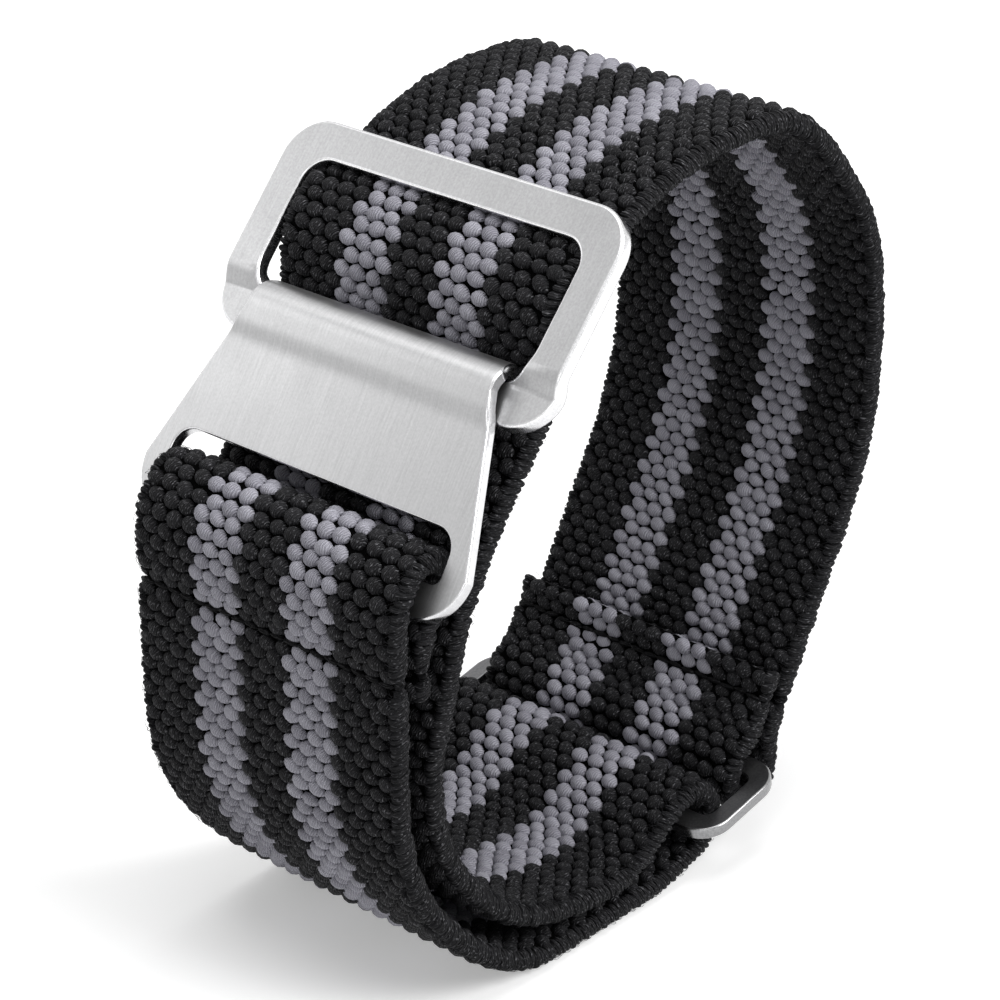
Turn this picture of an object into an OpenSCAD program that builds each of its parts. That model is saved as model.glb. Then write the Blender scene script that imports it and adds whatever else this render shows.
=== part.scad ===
// Elastic nylon watch strap, closed: one woven elastic band, a hook plate, a ring and a slider.
// X runs across the loop, Y across the width of the band and Z up.
// The origin is under the middle of the loop, on the surface that it stands on.

/* [Band] */
// Width of the woven band
band_w = 20; // [16:0.5:24]
// Thickness of the woven band
band_t = 1.6; // [1.3:0.1:2]
// Gap between two layers of band that lie on each other
layer_gap = 0.15; // [0.1:0.05:0.3]

/* [Loop] */
// Width of the closed loop over its outer faces
loop_w = 42.4; // [41:0.1:60]
// Height of the closed loop
loop_h = 46.6; // [45:0.1:64]
// Length of the flat stretch that the loop stands on
foot_l = 8; // [5:0.5:10]
// Gap between the two strands halfway up the left side
strand_gap = 0.8; // [0.2:0.1:1.4]
// Depth of the ring's centre bar below the top of the loop
ring_drop = 6; // [5:0.5:8]
// Slope of the ring along the loop, in degrees
ring_a = 48.7; // [45:0.1:53]

/* [Ring] */
// Thickness of the ring's sheet
ring_t = 1; // [0.8:0.1:1.2]
// Width of the ring's top and bottom bars
ring_bar = 2.2; // [1.6:0.1:3]
// Width of the ring's side bars
ring_side = 1.7; // [1.2:0.1:3]
// Width of the hidden centre bar
centre_bar = 1.2; // [0.9:0.1:1.6]
// Outer corner radius of the ring
ring_r = 2.6; // [1.5:0.1:3.5]
// Step by which the bottom bar is set inwards
ring_step = 0.6; // [0.3:0.1:0.9]
// Play between the ring and each edge of the band
ring_play = 0.3; // [0.2:0.1:0.6]
// Room between the ring's bars and the band for the ring's tilt
tilt_room = 0.38; // [0.36:0.02:0.6]

/* [Hook plate] */
// Thickness of the hook plate's sheet
plate_t = 0.8; // [0.6:0.1:1]
// Length from the hook's rolled edge to the slot
plate_reach = 9.3; // [8:0.1:11]
// Height of the slot
plate_slot = 2.8; // [2.7:0.1:4]
// Width of the strip below the slot
strip_w = 2.2; // [2:0.1:3]
// Width of the metal beside the slot
plate_side = 1.7; // [1.2:0.1:3]
// Amount by which the hook is narrower than the band, in all
hook_narrowing = 2; // [1:0.5:4]
// Corner radius at the wide end of the plate
plate_r = 2.8; // [1.5:0.1:3.5]
// Inner radius of the hook's roll
hook_r = 0.9; // [0.9:0.05:1.1]
// Length of the lip behind the catch bar, from the centre of the roll
lip_l = 1.6; // [1.2:0.1:1.8]
// Height of the rounded ridge along the roll
ridge_h = 0.25; // [0.1:0.05:0.3]
// Angle by which the plate is steeper than the ring, in degrees
plate_lean = 7.5; // [6:0.5:8.5]

/* [Slider] */
// Thickness of the slider's sheet
slider_t = 0.8; // [0.6:0.1:1.2]
// Width of the slider's two bars
slider_bar = 1.6; // [1.2:0.1:2.2]
// Length of each slider end beyond the band's edge
slider_side = 1.6; // [1.2:0.1:3]
// Corner radius of the slider
slider_r = 2; // [1:0.1:2.6]
// Slope of the slider, in degrees
slider_a = 12; // [8:1:20]
// Height of the band's turn under the slider above the surface
slider_rise = 0.75; // [0.4:0.05:1.5]

/* [Folds] */
// Length of the sewn fold above the slider's upper bar
fold_l = 6; // [5.5:0.1:8]
// Slope of the sewn fold above the slider, in degrees
fold_a = 64; // [58:1:68]
// Length of the sewn fold below the edge of the hook plate's slot
hook_fold_l = 6.4; // [6:0.1:8]
// Distance from each seam to the cut end of the band
seam_in = 1.6; // [1.2:0.1:2]
// Diameter of the sewing thread
thread_d = 0.4; // [0.3:0.05:0.6]
// Length of one stitch
stitch = 2; // [1.5:0.25:3]

/* [Hidden] */

// Clearance of a band that is wrapped snugly round a bar
snug = 0.1;
// Play of the band's edges in the slots of the plate and the slider
slot_play = 0.3;
// Corner radius of an opening where the band only passes, and where it is wrapped round the bar
open_r = 0.7;
wrap_r = 0.4;
// Depth of the catch bar's edge in the hook, past the centre of the roll
hook_grip = 0.5;
// Length over which the ring's sheet steps down to the bottom bar
bend_l = 1.2;
// Points on each curved stretch, and degrees between the points of a wrap
curve_n = 10;
arc_step = 15;
// Slopes at which the band crosses the ring, before and after the centre bar
cross_in = 60;
cross_out = 56;

woven = [0.10, 0.10, 0.11];
steel = [0.78, 0.78, 0.80];
thread = [0.14, 0.14, 0.16];

// A station on the band is [x, z, heading], and a frame is [x, z, slope].
function unit(a) = [cos(a), sin(a)];
function spot(f, u, n) = [f[0] + u * cos(f[2]) - n * sin(f[2]), f[1] + u * sin(f[2]) + n * cos(f[2])];
function frame(f, u, n, turn) = concat(spot(f, u, n), [f[2] + turn]);
function beside(s, n) = frame(s, 0, n, 0);
function turned(s) = frame(s, 0, 0, 180);
function span(a, b) = norm([b[0] - a[0], b[1] - a[1]]);
function head(c) = [for (i = [0:len(c) - 2]) c[i]];
function last(c) = c[len(c) - 1];

// Smooth curve from one station to the next, without its end point
reach_k = 0.37;
function bezier(p, q, r, s, k) = pow(1 - k, 3) * p + 3 * pow(1 - k, 2) * k * q
                               + 3 * (1 - k) * k * k * r + pow(k, 3) * s;
function bezier_slope(p, q, r, s, k) = pow(1 - k, 2) * (q - p) + 2 * (1 - k) * k * (r - q) + k * k * (s - r);
function curve(a, b) =
    let (p = [a[0], a[1]], s = [b[0], b[1]], pull = reach_k * span(a, b),
         q = p + pull * unit(a[2]), r = s - pull * unit(b[2]))
    [for (i = [0:curve_n - 1])
        let (w = bezier(p, q, r, s, i / curve_n), v = bezier_slope(p, q, r, s, i / curve_n))
        [w[0], w[1], atan2(v[1], v[0])]];
// Smooth curve through a list of stations, with its end point
function chain(st) = concat([for (i = [0:len(st) - 2]) each curve(st[i], st[i + 1])], [last(st)]);

// Stations round the point [u, n] of frame f at radius r, from angle a0 to a1 in that frame
function wrap(f, u, n, r, a0, a1) =
    let (steps = max(2, ceil(abs(a1 - a0) / arc_step)), side = a1 > a0 ? 90 : -90, c = spot(f, u, n))
    [for (i = [0:steps])
        let (a = f[2] + a0 + (a1 - a0) * i / steps)
        [c[0] + r * cos(a), c[1] + r * sin(a), a + side]];

// Outline of a strip of thickness t whose middle runs along the stations
function strip(c, t) = concat([for (s = c) beside(s, t / 2)],
                              [for (i = [len(c) - 1:-1:0]) beside(c[i], -t / 2)]);
function flat(c) = [for (s = c) [s[0], s[1]]];

half_t = band_t / 2;
layer = band_t + layer_gap;
slot_w = band_w + 2 * slot_play;

// Ring: its frame lies in the middle of the centre bar, and u runs up along the loop
ring_f = [-0.192 * loop_w, loop_h - ring_drop, ring_a];
ring_open = band_w + 2 * ring_play;
ring_w = ring_open + 2 * ring_side;
hump_r = norm([centre_bar, ring_t]) / 2 + snug + half_t;
under_r = ring_t / 2 + tilt_room + half_t;
top_u = (hump_r + under_r) / sin(cross_in);
top_edge = top_u - ring_t / 2;
roll_r = hook_r + plate_t;
clear_r = roll_r + tilt_room + half_t;
hook_u = -sqrt(pow((hump_r + clear_r) / sin(cross_out), 2) - ring_step * ring_step);
catch_edge = hook_u + hook_grip;
ring_top = top_edge + ring_bar;
ring_foot = catch_edge - ring_bar;

// Hook plate: its frame lies in the centre of the roll, and u runs towards the ring
hook_f = frame(ring_f, hook_u, -ring_step, plate_lean);
roll_mid = hook_r + plate_t / 2;
plate_mid = roll_mid - ridge_h;
slot_top = roll_r - plate_reach;
slot_foot = slot_top - plate_slot;
plate_foot = slot_foot - strip_w;
plate_w = slot_w + 2 * plate_side;
hook_w = band_w - hook_narrowing;
nose_r = norm([plate_t, plate_t]) / 2 + snug + half_t;
nose_f = frame(hook_f, slot_foot - plate_t / 2, plate_mid, 0);

// Slider: its frame lies in the middle of the slot, and u runs up along the loop
upper_r = norm([slider_bar, slider_t]) / 2 + snug + half_t;
lower_r = norm([slider_bar, slider_t]) / 2 + tilt_room + half_t;
bar_u = (upper_r + lower_r + band_t + 2 * layer_gap) / 2;
slider_slot = 2 * bar_u - slider_bar;
slider_l = slider_slot + 2 * slider_bar;
slider_w = band_w + 2 * slider_side;
slider_f = [0.165 * loop_w, slider_rise + lower_r + half_t + bar_u * sin(slider_a), slider_a];
upper_f = concat(spot(slider_f, bar_u, 0), [fold_a]);
lower_f = frame(slider_f, -bar_u, 0, 0);

// Fold over the slider's upper bar: its frame lies between the two layers, at the cut end
fold_close = 22;
fold_f = frame(upper_f, fold_l, 0, 0);
fold_in = frame(fold_f, 0, layer / 2, 180);
fold_in_seam = frame(fold_f, -2 * seam_in, layer / 2, 180);
fold_out = frame(fold_f, 0, -layer / 2, 0);
fold_out_seam = frame(fold_f, -2 * seam_in, -layer / 2, 0);
fold_turn = wrap(upper_f, 0, 0, upper_r, 90 - fold_close, 270 + fold_close);
slider_fold_path = concat([fold_in], curve(fold_in_seam, fold_turn[0]), head(fold_turn),
                          curve(last(fold_turn), fold_out_seam), [fold_out_seam, fold_out]);
slider_seam_f = frame(fold_f, -seam_in, 0, 0);

// Single strand up the right side and over the top to the ring
right_st = [loop_w / 2 - half_t, 0.6 * loop_h, 90];
shoulder_st = [0.42 * loop_w, 0.845 * loop_h, 128];
crest_st = [0.21 * loop_w, loop_h - half_t, 180];
top_st = [0, loop_h - half_t - 1.2, 200];
enter = wrap(ring_f, top_u, 0, under_r, 260, 270 - cross_in);
right_path = chain([fold_out, right_st, shoulder_st]);
top_path = chain([shoulder_st, crest_st, top_st, enter[0]]);

// Weave through the ring: under the top bar, over the centre bar and under the catch bar
leave_a = atan2(-ring_step, hook_u) + 360 + asin((hump_r + clear_r) / norm([hook_u, ring_step])) - 90;
leave = wrap(ring_f, hook_u, -ring_step, clear_r, leave_a - 180, -90);
weave_path = concat(enter, wrap(ring_f, 0, 0, hump_r, 90 - cross_in, leave_a), leave);

// Fold over the strip of the hook plate, with its two layers side by side at its foot
left_x = half_t - loop_w / 2;
hook_fold_f = [left_x + layer / 2, nose_f[1] - hook_fold_l, 90];
leg_out = frame(hook_fold_f, 0, layer / 2, 0);
leg_out_seam = frame(hook_fold_f, 1.5 * seam_in, layer / 2, 0);
leg_in = frame(hook_fold_f, 0, -layer / 2, 180);
leg_in_seam = frame(hook_fold_f, 1.5 * seam_in, -layer / 2, 180);
nose = wrap(nose_f, 0, 0, nose_r, 90, -90);
strip_gap = (plate_t + band_t) / 2 + 0.15;
over_strip = frame(hook_f, plate_foot, plate_mid + strip_gap, 20);
behind_strip = frame(hook_f, plate_foot, plate_mid - strip_gap, 192);
hook_fold_path = concat([leg_out], curve(leg_out_seam, over_strip), curve(over_strip, nose[0]), head(nose),
                        curve(last(nose), behind_strip), curve(behind_strip, leg_in_seam), [leg_in_seam, leg_in]);
hook_seam_f = frame(hook_fold_f, seam_in, 0, 0);

// Inner strand from the ring down to the foot, and the inner layer on to the slider
foot_st = [0.01 * loop_w, half_t, 180];
corner_st = [-0.352 * loop_w, 0.092 * loop_h, 137];
belly_st = [left_x, 0.34 * loop_h, 90];
under_strip = frame(nose_f, 0, -nose_r - layer - 0.4, 186);
passing = frame(hook_fold_f, 0, -1.5 * layer - 0.3, 164);
inner_belly = turned(beside(belly_st, -layer - strand_gap));
inner_corner = turned(beside(corner_st, -layer - strand_gap));
inner_foot = frame(turned(foot_st), -foot_l / 3, layer, 0);
slider_turn = wrap(lower_f, 0, 0, lower_r, 90, -90);
inner_path = chain([last(leave), under_strip, passing, inner_belly, inner_corner]);
inner_bottom_path = chain([inner_corner, inner_foot, slider_turn[0]]);

// Outer layer from the slider to the foot, and the outer strand up to the hook plate
outer_bottom_path = concat(curve(last(slider_turn), foot_st), [foot_st],
                           chain([frame(foot_st, foot_l, 0, 0), corner_st]));
outer_path = concat(curve(corner_st, belly_st), [belly_st, leg_out]);

module across(w) { rotate([90, 0, 0]) linear_extrude(height = w, center = true) children(); }
module place(f) { translate([f[0], 0, f[1]]) rotate([0, -f[2], 0]) children(); }
module band(path) { color(woven) across(band_w) polygon(flat(strip(path, band_t))); }

// Flat outline from u0 to u1 along the loop, w wide, with corners of radius r0 at u0 and r1 at u1
module rounded(u0, u1, w, r0, r1) {
    most = (u1 - u0) / 2 - 0.01;
    a = min(r0, most);
    b = min(r1, most);
    translate([u0, a - w / 2]) square([u1 - u0 - b, w - 2 * a]);
    translate([u0 + a, -w / 2]) square([u1 - u0 - a - b, w]);
    translate([u0 + a, b - w / 2]) square([u1 - u0 - a, w - 2 * b]);
    for (s = [-1, 1]) {
        translate([u0 + a, s * (w / 2 - a)]) circle(r = a, $fn = 48);
        translate([u1 - b, s * (w / 2 - b)]) circle(r = b, $fn = 48);
    }
}

module ring() {
    deep = ring_t + ring_step;
    face = ring_t / 2;
    color(steel) place(ring_f) intersection() {
        across(ring_w + 2) polygon([
            [ring_top + 1, -face], [ring_top + 1, face], [catch_edge + bend_l, face],
            [catch_edge, face - ring_step], [ring_foot - 1, face - ring_step],
            [ring_foot - 1, -face - ring_step], [catch_edge, -face - ring_step], [catch_edge + bend_l, -face]]);
        translate([0, 0, -deep]) linear_extrude(height = 2 * deep) difference() {
            rounded(ring_foot, ring_top, ring_w, ring_r, ring_r);
            rounded(centre_bar / 2, top_edge, ring_open, wrap_r, open_r);
            rounded(catch_edge, -centre_bar / 2, ring_open, open_r, wrap_r);
        }
    }
}

// Flat outline of the hook plate: narrow at the hook, wide and round at the slot end
module plate_outline() {
    wide = plate_foot + plate_r;
    polygon([[roll_r + 1, -hook_w / 2], [roll_r + 1, hook_w / 2], [0, hook_w / 2], [wide, plate_w / 2],
             [wide, -plate_w / 2], [0, -hook_w / 2]]);
    translate([plate_foot, plate_r - plate_w / 2]) square([plate_r + 1, plate_w - 2 * plate_r]);
    for (s = [-1, 1]) translate([wide, s * (plate_w / 2 - plate_r)]) circle(r = plate_r, $fn = 64);
}

module hook_plate() {
    sheet = concat([[-lip_l, -roll_mid, 0]], head(wrap([0, 0, 0], 0, 0, roll_mid, -90, 90)),
                   chain([[0, roll_mid, 180], [-1, roll_mid, 180], [-2.6, plate_mid, 180]]),
                   [[plate_foot - 1, plate_mid, 180]]);
    color(steel) place(hook_f) intersection() {
        across(plate_w + 2) polygon(flat(strip(sheet, plate_t)));
        translate([0, 0, -2 * roll_r]) linear_extrude(height = 4 * roll_r) difference() {
            plate_outline();
            rounded(slot_foot, slot_top, slot_w, wrap_r, open_r);
        }
    }
}

module slider() {
    color(steel) place(slider_f) translate([0, 0, -slider_t / 2]) linear_extrude(height = slider_t) difference() {
        rounded(-slider_l / 2, slider_l / 2, slider_w, slider_r, slider_r);
        rounded(-slider_slot / 2, slider_slot / 2, slot_w, wrap_r, wrap_r);
    }
}

// Row of running stitches through both layers of a fold, from one edge of the band to the other
module seam(f) {
    count = floor((band_w - 1) / stitch);
    face = layer / 2 + half_t - thread_d / 3;
    color(thread) place(f) for (i = [0:count]) translate([0, (i - count / 2) * stitch, 0]) {
        cylinder(d = 0.8 * thread_d, h = 2 * face, center = true, $fn = 16);
        if (i < count) translate([0, -thread_d / 2, i % 2 == 0 ? face : -face])
            rotate([-90, 0, 0]) cylinder(d = thread_d, h = stitch + thread_d, $fn = 16);
    }
}

band(slider_fold_path);  // band_slider_fold
band(right_path);  // band_right_strand
band(top_path);  // band_top_strand
band(weave_path);  // band_ring_weave
band(inner_path);  // band_inner_strand
band(inner_bottom_path);  // band_inner_bottom
band(slider_turn);  // band_slider_turn
band(outer_bottom_path);  // band_outer_bottom
band(outer_path);  // band_outer_strand
band(hook_fold_path);  // band_hook_fold
ring();
hook_plate();
slider();
seam(slider_seam_f);  // slider_seam
seam(hook_seam_f);  // hook_seam
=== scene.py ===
"""Looks of an elastic nylon watch strap with a hook plate, ring and slider, over its CAD part."""

import math

import bmesh
import bpy
import numpy as np
from mathutils import Matrix, Vector


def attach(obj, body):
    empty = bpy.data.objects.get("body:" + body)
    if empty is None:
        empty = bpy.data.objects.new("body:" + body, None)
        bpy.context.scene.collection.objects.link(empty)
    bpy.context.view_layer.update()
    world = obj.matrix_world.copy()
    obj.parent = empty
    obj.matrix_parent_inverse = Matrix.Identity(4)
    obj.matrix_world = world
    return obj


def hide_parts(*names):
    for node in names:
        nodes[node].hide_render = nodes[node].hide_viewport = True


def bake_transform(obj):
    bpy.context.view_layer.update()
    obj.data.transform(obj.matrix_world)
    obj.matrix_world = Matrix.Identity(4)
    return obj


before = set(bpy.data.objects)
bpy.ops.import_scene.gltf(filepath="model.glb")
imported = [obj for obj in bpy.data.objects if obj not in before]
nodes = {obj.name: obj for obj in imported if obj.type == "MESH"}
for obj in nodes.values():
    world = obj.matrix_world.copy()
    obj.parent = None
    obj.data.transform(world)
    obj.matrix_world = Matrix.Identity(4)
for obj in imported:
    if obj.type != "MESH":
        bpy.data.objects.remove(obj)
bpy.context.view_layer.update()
MM = 0.001
chance = np.random.default_rng(11)

# Sizes of the band and its weave, in millimetres
BAND_HALF = 0.8
BAND_WIDTH = 20.0
ROW = 0.78
COLUMN = 1.17
COLUMNS = 16
MIDDLE_COLUMN = 7.75
KNOT_SIZE = (0.475, 0.62, 0.42)
KNOT_TURN = math.radians(-14)
KNOT_OUT = 0.42
SELVEDGE_SIZE = (0.27, 0.47, 0.66)
SELVEDGE_LEAN = math.radians(24)
SELVEDGE_ACROSS = 9.54
FIBRE_RADIUS = 0.012
FIBRE_BOW = 0.64
FIBRE_ACROSS = 9.32
FIBRES_A_ROW = 9
CORE_WIDTH = BAND_WIDTH - 0.9
CORE_THICK = 0.84
CORE_ROUNDING = 0.38
STRIPE_COLUMNS = 3
STRIPE_STEP = 6
BAND_SECTIONS = [
    "band_slider_fold", "band_right_strand", "band_top_strand", "band_ring_weave",
    "band_inner_strand", "band_inner_bottom", "band_slider_turn", "band_outer_bottom",
    "band_outer_strand", "band_hook_fold",
]

# Places of the metal pieces: x and z of the frame in millimetres and its slope in degrees
RING_AT = (-8.141, 40.6, 48.7)
HOOK_AT = (-11.299, 36.096, 56.2)
SLIDER_AT = (6.996, 4.224, 12.0)
# The band's middle in the ring, along and out of the ring, drawn flatter than the CAD route
RING_ROUTE = [
    (3.05, -0.92), (2.45, -0.20), (1.80, 0.02), (1.00, 0.12), (0.20, 0.12), (-0.60, -0.03),
    (-1.40, -0.40), (-2.20, -0.98), (-2.95, -1.70), (-3.70, -2.35),
]
# Places of the two seams, between the layers that they join
SLIDER_SEAM_AT = (11.746, 8.779, 64.0)
HOOK_SEAM_AT = (-19.525, 22.905, 90.0)
SEAM_LAYER = 0.875
SEAM_DEPTH = 0.78
SEAM_WIDTH = 0.42
ROW_PUSH = 0.34
ROW_PUSH_REACH = 0.7
STITCH_SIZE = (0.16, 0.55, 0.16)
STITCH_STEP = 1.0
STITCH_OUT = 1.22

# Sizes of the metal pieces, in millimetres along (u) and across their frames
RING_LOW = -7.17
RING_HIGH = 5.58
RING_WIDTH = 24.5
RING_THICK = 1.0
CATCH_EDGE = -4.97
TOP_EDGE = 3.38
RING_OPENING = 20.1
RING_CORNER = 2.6
RING_OPENING_CORNERS = [2.4, 1.5, 1.5, 2.4]
CATCH_SET_IN = -0.6
CENTRE_BAR_HALF = 0.6
CENTRE_BAR_LENGTH = 22.8
CENTRE_BAR_BENDS = (10.3, 11.1)
CENTRE_BAR_END_DROP = 0.3
CENTRE_BAR_DROP = 1.4
PLATE_FOOT = -12.6
PLATE_WIDE = 12.0
PLATE_NARROW = 9.0
PLATE_TIP = 7.9
PLATE_OUT = 1.05
PLATE_THICK = 0.8
PLATE_SLOT = (-10.4, -7.6)
PLATE_SLOT_CORNERS = [0.4, 1.3, 1.3, 0.4]
ROLL_RADIUS = 1.3
LIP_LENGTH = 1.6
SLOT_WIDTH = 20.6
SLIDER_LENGTH = 7.37
SLIDER_SLOT = 4.17
SLIDER_WIDTH = 23.2
SLIDER_THICK = 0.8
SLIDER_CORNER = 2.0
CUTTER_THICK = 3.0

# The camera of the photograph, fitted to the band's edges: angles in degrees and places in metres
CAMERA_AZIMUTH = -48.0
CAMERA_HEIGHT = 25.6
CAMERA_AIM = (-0.00188, 0.00009, 0.02389)
CAMERA_DISTANCE = 0.19
CAMERA_ZOOM = 3.337
SENSOR_WIDTH = 36.0


# Paths

def spot(at, u, n):
    """The point u along and n out of a frame, as x and z in millimetres."""
    slope = math.radians(at[2])
    cosine, sine = math.cos(slope), math.sin(slope)
    return (at[0] + u * cosine - n * sine, at[1] + u * sine + n * cosine)


def path_through(points, step=0.05, soften=0.0):
    """A path through points (x, z): even stations with their distance, place and heading."""
    points = np.asarray(points, float)
    along = np.concatenate([[0.0], np.cumsum(np.linalg.norm(np.diff(points, axis=0), axis=1))])
    count = int(math.ceil(along[-1] / step)) + 1
    even = np.linspace(0.0, along[-1], count)
    place = np.stack([np.interp(even, along, points[:, k]) for k in (0, 1)], axis=1)
    if soften:
        reach = int(math.ceil(3 * soften / step))
        kernel = np.exp(-0.5 * (np.arange(-reach, reach + 1) * step / soften) ** 2)
        kernel /= kernel.sum()
        before = place[0] - (place[1] - place[0]) * np.arange(reach, 0, -1)[:, None]
        after = place[-1] + (place[-1] - place[-2]) * np.arange(1, reach + 1)[:, None]
        padded = np.concatenate([before, place, after])
        place = np.stack([np.convolve(padded[:, k], kernel, "valid") for k in (0, 1)], axis=1)
    heading = np.gradient(place, axis=0)
    turned = np.unwrap(np.arctan2(heading[:, 1], heading[:, 0]))
    return {"s": even, "x": place[:, 0], "z": place[:, 1], "turn": turned}


def lay_on_path(points, path):
    """Bends straight work (along, across, out) round a path, all in millimetres."""
    s = np.clip(points[:, 0], path["s"][0], path["s"][-1])
    turn = np.interp(s, path["s"], path["turn"])
    over = points[:, 0] - s
    x = np.interp(s, path["s"], path["x"]) + over * np.cos(turn) - points[:, 2] * np.sin(turn)
    z = np.interp(s, path["s"], path["z"]) + over * np.sin(turn) + points[:, 2] * np.cos(turn)
    return np.stack([x, points[:, 1], z], axis=1)


def set_on_path(local, centre, path, give=0.35):
    """Sets small stiff shapes on a path: local points (along, across, out) about each centre."""
    turn = np.interp(centre[:, 0], path["s"], path["turn"])
    bend = np.interp(centre[:, 0], path["s"], np.gradient(path["turn"], path["s"]))
    stretch = np.clip(1.0 - give * centre[:, 2] * bend, 0.6, 1.3)
    plain = np.ones(len(stretch))
    local = local * np.stack([stretch, plain, plain], axis=1)[:, None, :]
    middle = lay_on_path(centre, path)
    cosine, sine = np.cos(turn)[:, None], np.sin(turn)[:, None]
    x = middle[:, 0, None] + local[..., 0] * cosine - local[..., 2] * sine
    z = middle[:, 2, None] + local[..., 0] * sine + local[..., 2] * cosine
    return np.stack([x, middle[:, 1, None] + local[..., 1], z], axis=-1).reshape(-1, 3)


def edge_outline(node):
    """The points (x, z), in order, round the flat edge face of a band section."""
    work = bmesh.new()
    work.from_mesh(nodes[node].data)
    bmesh.ops.remove_doubles(work, verts=work.verts, dist=1e-7)
    edge_y = max(v.co.y for v in work.verts) - 1e-5
    flat = {f for f in work.faces if all(v.co.y > edge_y for v in f.verts)}
    rim = [e for e in work.edges if sum(f in flat for f in e.link_faces) == 1]
    beside = {}
    for e in rim:
        for v in e.verts:
            beside.setdefault(v, []).append(e.other_vert(v))
    start = rim[0].verts[0]
    walk = [start, beside[start][0]]
    while True:
        onward = [v for v in beside[walk[-1]] if v is not walk[-2]][0]
        if onward is start:
            break
        walk.append(onward)
    outline = np.array([(v.co.x, v.co.z) for v in walk]) / MM
    work.free()
    return outline


def centre_line(node):
    """The points (x, z) along the middle of a band section, from one cut end to the other."""
    outline = edge_outline(node)
    ahead = np.roll(outline, -1, axis=0) - outline
    after = np.roll(outline, -1, axis=0)
    area = np.sum(outline[:, 0] * after[:, 1] - outline[:, 1] * after[:, 0])
    if area < 0:
        outline = outline[::-1]
        ahead = np.roll(outline, -1, axis=0) - outline
    ahead /= np.linalg.norm(ahead, axis=1)[:, None]
    behind = np.roll(ahead, 1, axis=0)
    swing = behind[:, 0] * ahead[:, 1] - behind[:, 1] * ahead[:, 0]
    bend = np.arctan2(swing, np.sum(behind * ahead, axis=1))
    # The outline turns by about a right angle at the corners of a cut end, and by less elsewhere
    corner = bend > 1.0
    count = len(outline)
    ends = [i for i in range(count) if corner[i] and corner[(i + 1) % count]]
    first, last = ends[0] + 1, ends[1]
    side = outline[first:last + 1]
    flow = ahead[first:last]
    inward = np.concatenate([flow[:1], flow[:-1] + flow[1:], flow[-1:]])
    inward /= np.linalg.norm(inward, axis=1)[:, None]
    return side + BAND_HALF * np.stack([-inward[:, 1], inward[:, 0]], axis=1)


def band_path():
    """One path along the whole band, and the distance at which each section starts and ends."""
    lines = [centre_line(node) for node in BAND_SECTIONS]
    ends = lines[1][[0, -1]]
    from_first = np.linalg.norm(ends - lines[0][0], axis=1)
    from_last = np.linalg.norm(ends - lines[0][-1], axis=1)
    if min(from_first) < min(from_last):
        lines[0] = lines[0][::-1]
    for k in range(1, len(lines)):
        here = lines[k - 1][-1]
        if np.linalg.norm(lines[k][0] - here) > np.linalg.norm(lines[k][-1] - here):
            lines[k] = lines[k][::-1]
    woven = BAND_SECTIONS.index("band_ring_weave")
    drawn = np.array([spot(RING_AT, u, n) for u, n in RING_ROUTE])
    lines[woven] = np.concatenate([lines[woven][:1], drawn, lines[woven][-1:]])
    lengths = [np.sum(np.linalg.norm(np.diff(line, axis=0), axis=1)) for line in lines]
    joints = np.concatenate([[0.0], np.cumsum(lengths)])
    chained = [lines[0]]
    for line in lines[1:]:
        chained.append(line[1:])
    return path_through(np.concatenate(chained), soften=0.22), joints


def nearest_along(path, x, z):
    """The distance along a path at which it passes nearest to a point."""
    return path["s"][np.argmin((path["x"] - x) ** 2 + (path["z"] - z) ** 2)]


# Mesh helpers

def points_of(mesh):
    """The vertices of a mesh as an array."""
    points = np.empty(len(mesh.vertices) * 3)
    mesh.vertices.foreach_get("co", points)
    return points.reshape(-1, 3)


def move_points(mesh, points):
    """Puts the vertices of a mesh at the given places."""
    mesh.vertices.foreach_set("co", np.asarray(points, float).ravel())
    mesh.update()


def mesh_from(work, name, smooth=False):
    """A mesh that holds what was modelled in a bmesh, smooth shaded if asked."""
    if smooth:
        for face in work.faces:
            face.smooth = True
    mesh = bpy.data.meshes.new(name)
    work.to_mesh(mesh)
    work.free()
    return mesh


def everything_in(work):
    """All vertices, edges and faces of a bmesh."""
    return work.verts[:] + work.edges[:] + work.faces[:]


def slice_at(work, places, axis):
    """Cuts a shape across an axis at each place, so that it can bend there."""
    normal = [0.0, 0.0, 0.0]
    normal[axis] = 1.0
    for place in places:
        through = [place * part for part in normal]
        bmesh.ops.bisect_plane(work, geom=everything_in(work), plane_co=through, plane_no=normal)


def shown(mesh, name):
    """A new object that shows a mesh."""
    piece = bpy.data.objects.new(name, mesh)
    bpy.context.scene.collection.objects.link(piece)
    return piece


def finished_mesh(piece):
    """The mesh of an object with its modifiers applied. The object is removed."""
    bpy.context.view_layer.update()
    worked = piece.evaluated_get(bpy.context.evaluated_depsgraph_get())
    mesh = bpy.data.meshes.new_from_object(worked)
    bpy.data.objects.remove(piece)
    return mesh


def joined(pieces, name):
    """Several objects as one."""
    first = pieces[0]
    with bpy.context.temp_override(active_object=first, object=first, selected_objects=pieces,
                                   selected_editable_objects=pieces):
        bpy.ops.object.join()
    first.name = name
    first.data.name = name
    return first


def set_yarn_map(work, across=1, along=0):
    """Gives a shape a UV map in millimetres, across and along its fibres."""
    layer = work.loops.layers.uv.new("yarn")
    for face in work.faces:
        for loop in face.loops:
            loop[layer].uv = (loop.vert.co[across], loop.vert.co[along])


# Weave

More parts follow.
